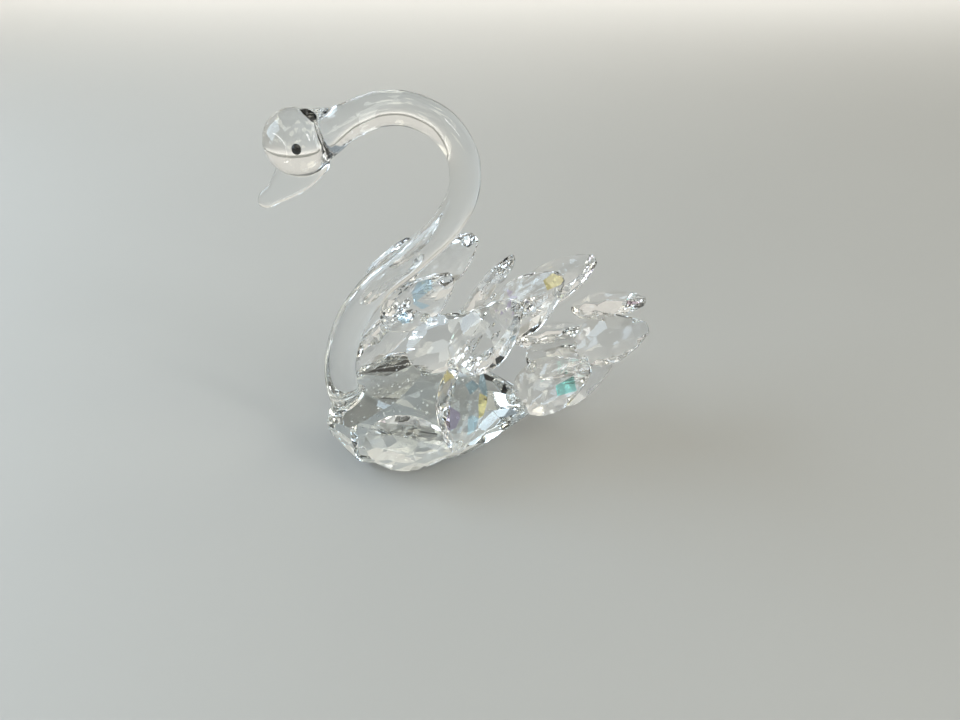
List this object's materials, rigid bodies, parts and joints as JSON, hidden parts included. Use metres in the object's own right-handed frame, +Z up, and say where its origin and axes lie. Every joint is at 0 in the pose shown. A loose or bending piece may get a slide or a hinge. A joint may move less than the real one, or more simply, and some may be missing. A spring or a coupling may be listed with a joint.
{
  "type": "crystal swan figurine",
  "caption": "Clear crystal swan figurine: faceted teardrop body, glass neck arching to a small head with black eyes, and glued cut leaf crystals as wings and tail.",
  "frame": {"origin": "centre of the figurine's bounding box, on the surface that the flat foot stands on", "axes": "+Z up, the swan faces -X with its tail towards +X, its left side is towards -Y and its right side towards +Y"},
  "size_m": [0.1362, 0.0654, 0.1481],
  "materials": {
    "cut_crystal": "clear lead crystal, cut and polished in flat facets",
    "lampworked_glass": "clear rod glass, fire-polished smooth",
    "eye_glass": "opaque black glass, glossy",
    "leaf_crystal": "clear lead crystal with diamond facets, polished, flashes of colour",
    "clear_adhesive": "clear cured adhesive with tiny bubbles"
  },
  "bodies": {
    "root": {"body": "cut_crystal", "neck_head": "lampworked_glass", "eye_left": "eye_glass", "eye_right": "eye_glass", "left_wing_flank_leaf": "leaf_crystal", "left_wing_cover_leaf": "leaf_crystal", "left_wing_shoulder_leaf": "leaf_crystal", "left_wing_middle_leaf": "leaf_crystal", "left_wing_rear_leaf": "leaf_crystal", "right_wing_flank_leaf": "leaf_crystal", "right_wing_shoulder_leaf": "leaf_crystal", "right_wing_front_leaf": "leaf_crystal", "right_wing_upper_leaf": "leaf_crystal", "right_wing_high_leaf": "leaf_crystal", "right_wing_middle_leaf": "leaf_crystal", "right_wing_rear_leaf": "leaf_crystal", "tail_lower_leaf": "leaf_crystal", "tail_inner_leaf": "leaf_crystal", "tail_left_tip_leaf": "leaf_crystal", "tail_right_tip_leaf": "leaf_crystal", "tail_centre_leaf": "leaf_crystal", "tail_right_leaf": "leaf_crystal", "neck_glue": "clear_adhesive", "left_wing_glue": "clear_adhesive", "right_wing_glue": "clear_adhesive", "tail_glue": "clear_adhesive"}
  },
  "joints": []
}
